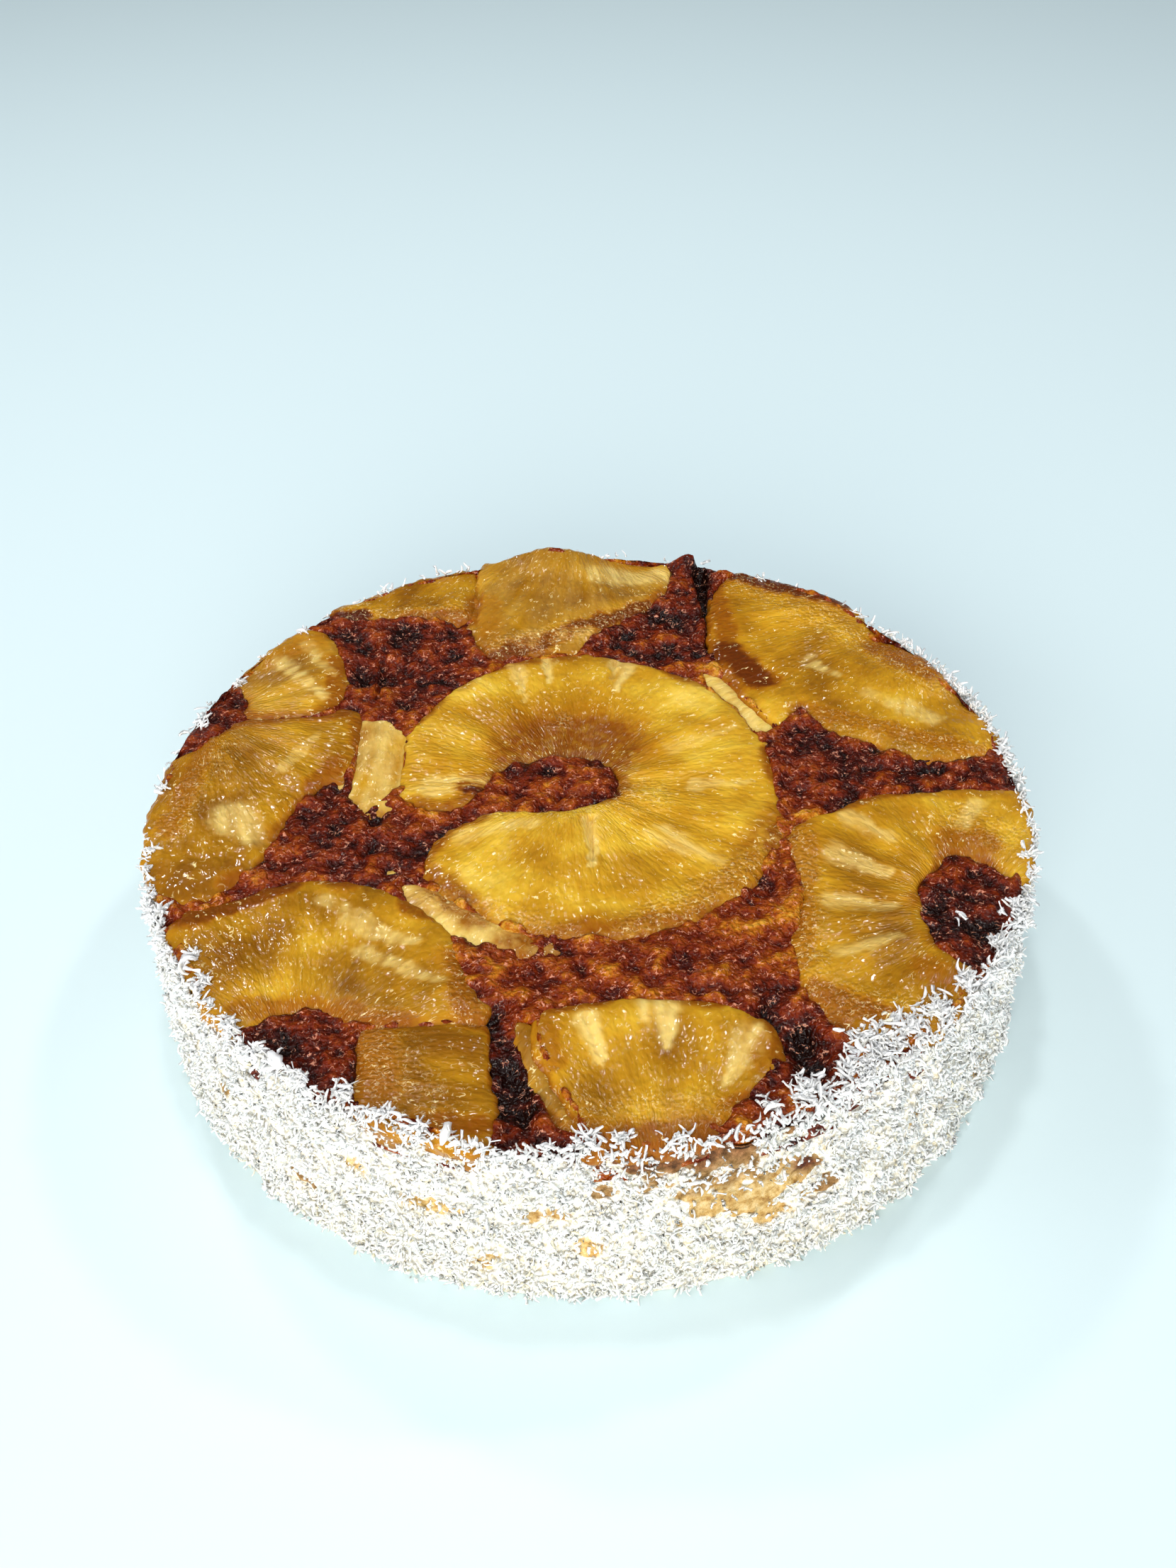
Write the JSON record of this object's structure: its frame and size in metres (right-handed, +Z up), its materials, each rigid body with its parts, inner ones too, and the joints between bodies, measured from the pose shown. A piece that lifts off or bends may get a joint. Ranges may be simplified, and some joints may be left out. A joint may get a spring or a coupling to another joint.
{
  "type": "pineapple upside-down cake",
  "caption": "Round whole pineapple upside-down cake with caramelised fruit slices set in its top and a rough coat of desiccated coconut on its side, for a table or display.",
  "frame": {"origin": "centre of the cake's flat base", "axes": "+Z up out of the caramelised top, -Y towards the front rim where the coconut coat comes furthest over the edge, +X towards the slice with the dark round core at the right rim"},
  "size_m": [0.191, 0.1913, 0.0485],
  "materials": {
    "sponge": "wet dark caramel on top, rough golden crumb under white coconut at the side",
    "pineapple": "moist baked fruit under a thin syrup glaze"
  },
  "bodies": {
    "root": {"sponge": "sponge", "pineapple_ring": "pineapple", "pineapple_back": "pineapple", "pineapple_back_strip": "pineapple", "pineapple_back_right": "pineapple", "pineapple_left_back": "pineapple", "pineapple_left": "pineapple", "pineapple_front_left": "pineapple", "pineapple_front_leg": "pineapple", "pineapple_front": "pineapple", "pineapple_right": "pineapple", "pineapple_sliver_left": "pineapple", "pineapple_sliver_front_left": "pineapple", "pineapple_sliver_back": "pineapple", "pineapple_sliver_front": "pineapple"}
  },
  "joints": []
}
